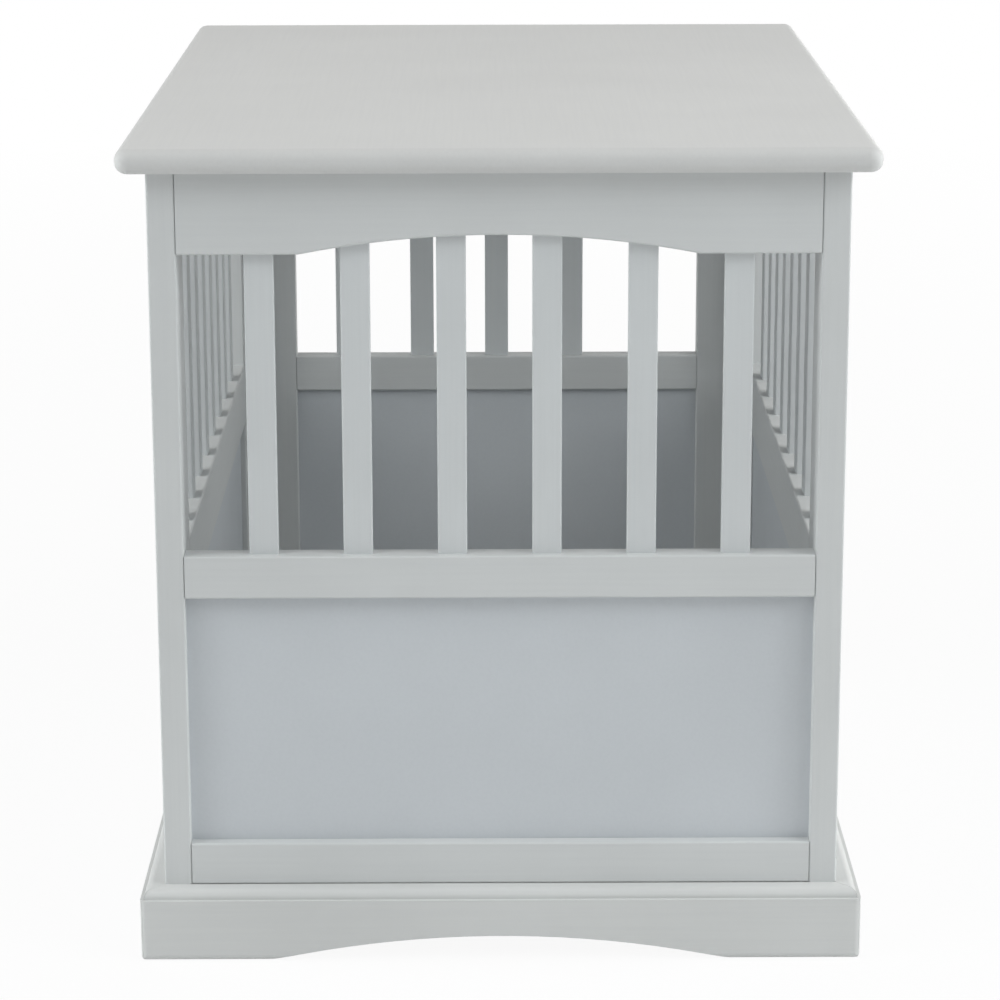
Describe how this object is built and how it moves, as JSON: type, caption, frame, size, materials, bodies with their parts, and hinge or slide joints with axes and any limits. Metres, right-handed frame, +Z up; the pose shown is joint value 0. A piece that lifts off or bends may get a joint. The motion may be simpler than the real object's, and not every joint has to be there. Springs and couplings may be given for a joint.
{
  "type": "dog crate end table",
  "caption": "Wooden dog crate with slatted walls over recessed panels, an arched plinth, a hinged end door with a sliding bolt, and a flat table top with rounded edges.",
  "frame": {"origin": "middle of the footprint, at floor level", "axes": "+Z up; +Y along the length, from the fixed end to the door end; +X across the short ends, towards the door's hinges"},
  "size_m": [0.508, 0.6984, 0.5715],
  "materials": {
    "painted_top": "satin painted, pale grey-white",
    "painted_frame": "satin painted, pale grey-white",
    "painted_slats": "satin painted, pale grey-white",
    "painted_panel": "satin painted, slightly cooler grey-white",
    "painted_plinth": "satin painted, pale grey-white",
    "painted_floor": "satin painted board",
    "raw_wood": "bare pine",
    "dowel_wood": "bare beech",
    "satin_nickel": "satin nickel plate",
    "nickel_screws": "nickel-plated screws",
    "zinc_steel": "zinc-plated steel"
  },
  "bodies": {
    "crate": {"barrel_nuts": "zinc_steel", "base_fixing_screws": "zinc_steel", "connector_bolts": "zinc_steel", "corner_block_screws": "zinc_steel", "corner_blocks": "raw_wood", "door_end_stretcher": "painted_frame", "fixed_end_apron": "painted_frame", "fixed_end_bottom_rail": "painted_frame", "fixed_end_mid_rail": "painted_frame", "fixed_end_panel": "painted_panel", "fixed_end_slats": "painted_slats", "floor_cleats": "raw_wood", "floor_panel": "painted_floor", "frame_dowels": "dowel_wood", "hinge_frame_leaves": "satin_nickel", "hinge_frame_screws": "nickel_screws", "hinge_pins": "satin_nickel", "keeper_screws": "nickel_screws", "latch_keeper": "satin_nickel", "left_apron": "painted_frame", "left_bottom_rail": "painted_frame", "left_mid_rail": "painted_frame", "left_panel": "painted_panel", "left_slats": "painted_slats", "left_stile_door_end": "painted_frame", "left_stile_fixed_end": "painted_frame", "plinth_door_end": "painted_plinth", "plinth_fixed_end": "painted_plinth", "plinth_left": "painted_plinth", "plinth_right": "painted_plinth", "right_apron": "painted_frame", "right_bottom_rail": "painted_frame", "right_mid_rail": "painted_frame", "right_panel": "painted_panel", "right_slats": "painted_slats", "right_stile_door_end": "painted_frame", "right_stile_fixed_end": "painted_frame", "table_top": "painted_top", "top_bracket_screws": "zinc_steel", "top_brackets": "zinc_steel"},
    "door": {"door_hinge_stile": "painted_frame", "door_latch_stile": "painted_frame", "door_top_rail": "painted_frame", "door_mid_rail": "painted_frame", "door_bottom_rail": "painted_frame", "door_panel": "painted_panel", "door_slats": "painted_slats", "door_dowels": "dowel_wood", "hinge_door_leaves": "satin_nickel", "hinge_door_screws": "nickel_screws", "latch_body": "satin_nickel", "latch_body_screws": "nickel_screws"},
    "latch_bolt": {"latch_bolt": "satin_nickel", "latch_knob": "satin_nickel"}
  },
  "joints": [
    {"name": "door_hinge", "type": "hinge", "parent": "crate", "child": "door", "pos_m": [0.215, 0.33365, 0.30275], "axis": [0, 0, -1], "range_deg": [0, 180]},
    {"name": "latch_slide", "type": "slide", "parent": "door", "child": "latch_bolt", "axis": [-1, 0, 0], "range_m": [0, 0.014]}
  ]
}
